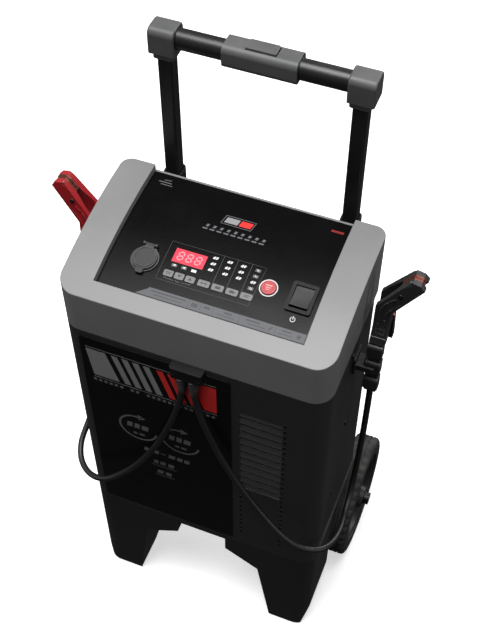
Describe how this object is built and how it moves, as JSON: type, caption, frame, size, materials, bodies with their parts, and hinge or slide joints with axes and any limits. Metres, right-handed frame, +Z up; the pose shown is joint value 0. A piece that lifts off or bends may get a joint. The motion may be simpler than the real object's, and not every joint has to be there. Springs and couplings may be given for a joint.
{
  "type": "battery charger",
  "caption": "Upright car battery charger on two wheels with a telescoping handle, a sloping control panel, two clamps on free leads and an accessory outlet.",
  "frame": {"origin": "on the floor, under the middle of the charger's box, its leads and clamps left out", "axes": "+X to the charger's right seen from the front, +Y to its back, +Z up"},
  "size_m": [0.497, 0.3385, 0.9431],
  "materials": {
    "bezel_grey": "fine textured, satin",
    "body_black": "fine textured, satin",
    "trim_black": "satin",
    "gloss_black": "printed gloss overlay",
    "tube_black": "black powder coat",
    "cap_grey": "fine textured",
    "tyre": "moulded tread",
    "rim_black": "satin",
    "rubber_black": "matt",
    "lead_black": "smooth, slightly glossy",
    "clamp_black": "satin",
    "clamp_red": "satin",
    "copper": "plated and slightly worn",
    "steel": "zinc plated",
    "key_grey": "printed, satin",
    "button_red": "moulded, glossy",
    "window_red": "tinted and lit",
    "light_white": "clear lenses",
    "board_green": "solder resist",
    "iron": "varnished laminations",
    "winding": "enamelled wire",
    "aluminium": "extruded"
  },
  "bodies": {
    "chassis": {"base": "body_black", "foot_pads": "rubber_black", "axle": "steel", "front_shell": "body_black", "rear_shell": "trim_black", "grille": "trim_black", "label_panel": "gloss_black", "lead_hood": "trim_black", "lead_glands": "rubber_black", "bezel": "bezel_grey", "control_panel": "gloss_black", "display_window": "window_red", "indicator_lights": "light_white", "outlet_socket": "trim_black", "switch_housing": "gloss_black", "screws_and_pins": "steel", "control_board": "board_green", "transformer_core": "iron", "transformer_winding": "winding", "power_board": "board_green", "heat_sink": "aluminium", "output_terminals": "copper", "fan_frame": "trim_black", "mains_inlet": "rubber_black", "handle_sleeves": "tube_black", "sleeve_brackets": "trim_black", "clamp_holders": "trim_black", "lead_left": "lead_black", "lead_right": "lead_black", "clamp_black_front_arm": "clamp_black", "clamp_black_metalwork": "steel", "clamp_red_front_arm": "clamp_red", "clamp_red_metalwork": "steel"},
    "handle": {"handle_tubes": "tube_black", "corner_caps": "cap_grey", "handle_grip": "cap_grey", "post_guides": "trim_black"},
    "release_button": {"release_button": "trim_black", "latch_yoke": "steel"},
    "latch_pin_right": {"latch_pin_right": "steel"},
    "latch_pin_left": {"latch_pin_left": "steel"},
    "wheel_right": {"tyre_right": "tyre", "wheel_rim_right": "rim_black"},
    "wheel_left": {"tyre_left": "tyre", "wheel_rim_left": "rim_black"},
    "clamp_black_jaw": {"clamp_black_rear_arm": "clamp_black", "clamp_black_rear_jaw": "copper"},
    "clamp_red_jaw": {"clamp_red_rear_arm": "clamp_red", "clamp_red_rear_jaw": "copper"},
    "fan_rotor": {"fan_rotor": "trim_black"},
    "start_button": {"start_button": "button_red"},
    "power_rocker": {"power_rocker": "gloss_black"},
    "outlet_cap": {"outlet_cap": "rubber_black"},
    "key_1": {"key_1": "key_grey"},
    "key_2": {"key_2": "key_grey"},
    "key_3": {"key_3": "key_grey"},
    "key_4": {"key_4": "key_grey"},
    "key_5": {"key_5": "key_grey"},
    "key_6": {"key_6": "key_grey"},
    "key_7": {"key_7": "key_grey"}
  },
  "joints": [
    {"name": "handle_slide", "type": "slide", "parent": "chassis", "child": "handle", "axis": [0, 0, 1], "range_m": [-0.16, 0]},
    {"name": "release_press", "type": "slide", "parent": "handle", "child": "release_button", "axis": [0, 0, -1], "range_m": [0, 0.004], "stiffness_N_per_m": 1500, "springref_m": -0.004},
    {"name": "latch_right", "type": "slide", "parent": "handle", "child": "latch_pin_right", "axis": [-1, 0, 0], "range_m": [0, 0.003]},
    {"name": "latch_left", "type": "slide", "parent": "handle", "child": "latch_pin_left", "axis": [1, 0, 0], "range_m": [0, 0.003]},
    {"name": "wheel_spin_right", "type": "hinge", "parent": "chassis", "child": "wheel_right", "pos_m": [0.1816, 0.0605, 0.101], "axis": [1, 0, 0], "continuous": true},
    {"name": "wheel_spin_left", "type": "hinge", "parent": "chassis", "child": "wheel_left", "pos_m": [-0.1816, 0.0605, 0.101], "axis": [1, 0, 0], "continuous": true},
    {"name": "clamp_black_open", "type": "hinge", "parent": "chassis", "child": "clamp_black_jaw", "pos_m": [0.203, -0.0005, 0.659], "axis": [-1, 0, 0], "range_deg": [0, 22], "stiffness_Nm_per_rad": 3, "springref_deg": -17.19},
    {"name": "clamp_red_open", "type": "hinge", "parent": "chassis", "child": "clamp_red_jaw", "pos_m": [-0.203, -0.0005, 0.659], "axis": [-1, 0, 0], "range_deg": [0, 22], "stiffness_Nm_per_rad": 3, "springref_deg": -17.19},
    {"name": "fan_spin", "type": "hinge", "parent": "chassis", "child": "fan_rotor", "pos_m": [0.06, 0.047, 0.5], "axis": [0, 1, 0], "continuous": true},
    {"name": "key_1_press", "type": "slide", "parent": "chassis", "child": "key_1", "axis": [0, 0.2308, -0.973], "range_m": [0, 0.0008], "stiffness_N_per_m": 800, "springref_m": -0.0006},
    {"name": "key_2_press", "type": "slide", "parent": "chassis", "child": "key_2", "axis": [0, 0.2308, -0.973], "range_m": [0, 0.0008], "stiffness_N_per_m": 800, "springref_m": -0.0006},
    {"name": "key_3_press", "type": "slide", "parent": "chassis", "child": "key_3", "axis": [0, 0.2308, -0.973], "range_m": [0, 0.0008], "stiffness_N_per_m": 800, "springref_m": -0.0006},
    {"name": "key_4_press", "type": "slide", "parent": "chassis", "child": "key_4", "axis": [0, 0.2308, -0.973], "range_m": [0, 0.0008], "stiffness_N_per_m": 800, "springref_m": -0.0006},
    {"name": "key_5_press", "type": "slide", "parent": "chassis", "child": "key_5", "axis": [0, 0.2308, -0.973], "range_m": [0, 0.0008], "stiffness_N_per_m": 800, "springref_m": -0.0006},
    {"name": "key_6_press", "type": "slide", "parent": "chassis", "child": "key_6", "axis": [0, 0.2308, -0.973], "range_m": [0, 0.0008], "stiffness_N_per_m": 800, "springref_m": -0.0006},
    {"name": "key_7_press", "type": "slide", "parent": "chassis", "child": "key_7", "axis": [0, 0.2308, -0.973], "range_m": [0, 0.0008], "stiffness_N_per_m": 800, "springref_m": -0.0006},
    {"name": "start_press", "type": "slide", "parent": "chassis", "child": "start_button", "axis": [0, 0.1964, -0.9805], "range_m": [0, 0.0015], "stiffness_N_per_m": 800, "springref_m": -0.001},
    {"name": "rocker_tip", "type": "hinge", "parent": "chassis", "child": "power_rocker", "pos_m": [0.1123, -0.06251, 0.71066], "axis": [1, 0, 0], "range_deg": [0, 16]},
    {"name": "outlet_cap_open", "type": "hinge", "parent": "chassis", "child": "outlet_cap", "pos_m": [-0.09, -0.05418, 0.7226], "axis": [-1, 0, 0], "range_deg": [0, 110]}
  ],
  "couplings": [
    {"joint": "latch_right", "follows": "release_press", "ratio": 0.75},
    {"joint": "latch_left", "follows": "release_press", "ratio": 0.75}
  ]
}
